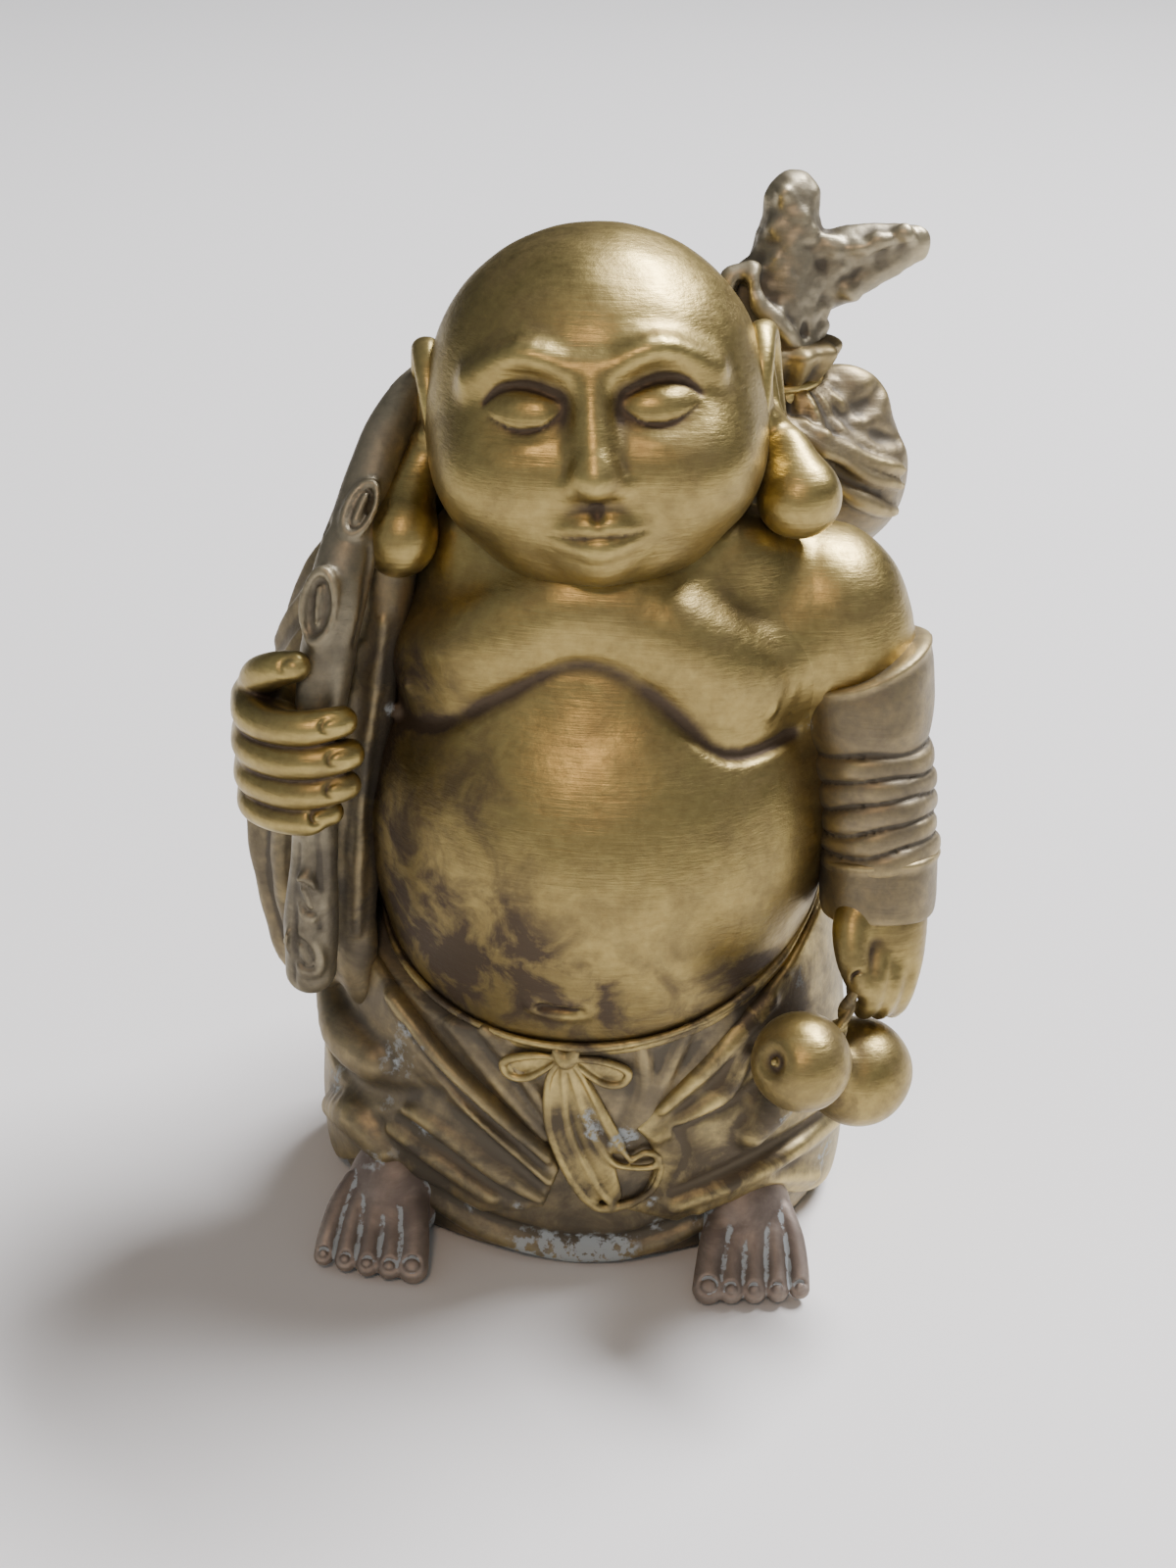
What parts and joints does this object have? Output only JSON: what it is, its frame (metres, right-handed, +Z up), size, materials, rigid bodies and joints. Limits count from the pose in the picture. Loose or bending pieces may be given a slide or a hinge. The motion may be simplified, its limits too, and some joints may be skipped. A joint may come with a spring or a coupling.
{
  "type": "buddha statue",
  "caption": "Standing laughing monk in cast brass with a round bare belly, a staff over one shoulder, a sack on the back and a double gourd in the hand.",
  "frame": {"origin": "on the table, in the middle of the base plate's underside", "axes": "+Z up; the belly and the toes point along -Y; +X is the figure's left, where the sack and the gourd are"},
  "size_m": [0.1082, 0.0904, 0.163],
  "materials": {
    "polished_brass": "cast brass rubbed bright by handling, with fine scratches and brown tarnish in the hollows",
    "tarnished_brass": "cast brass with a brown patina, rubbed golden on the folds",
    "staff_brass": "cast brass with carved knots, dark in the grooves",
    "worn_edge_brass": "cast brass worn to bare gold on its edges",
    "dark_patina_brass": "cast brass with a dark red-brown patina and pale verdigris dust between the toes"
  },
  "bodies": {
    "root": {"torso": "polished_brass", "skirt": "tarnished_brass", "base_plate": "tarnished_brass", "waist_cord": "worn_edge_brass", "bow": "worn_edge_brass", "sash_tails": "worn_edge_brass", "robe_back": "tarnished_brass", "robe_panel_right": "tarnished_brass", "robe_panel_left": "worn_edge_brass", "head": "polished_brass", "ear_right": "polished_brass", "ear_left": "polished_brass", "sleeve_right": "tarnished_brass", "hand_right": "polished_brass", "staff": "staff_brass", "staff_fork": "staff_brass", "sack": "tarnished_brass", "sack_neck": "tarnished_brass", "sack_tie": "worn_edge_brass", "arm_left": "polished_brass", "sleeve_left": "tarnished_brass", "cuff_left": "tarnished_brass", "hand_left": "polished_brass", "gourd": "polished_brass", "gourd_cord": "worn_edge_brass", "foot_right": "dark_patina_brass", "foot_left": "dark_patina_brass"}
  },
  "joints": []
}
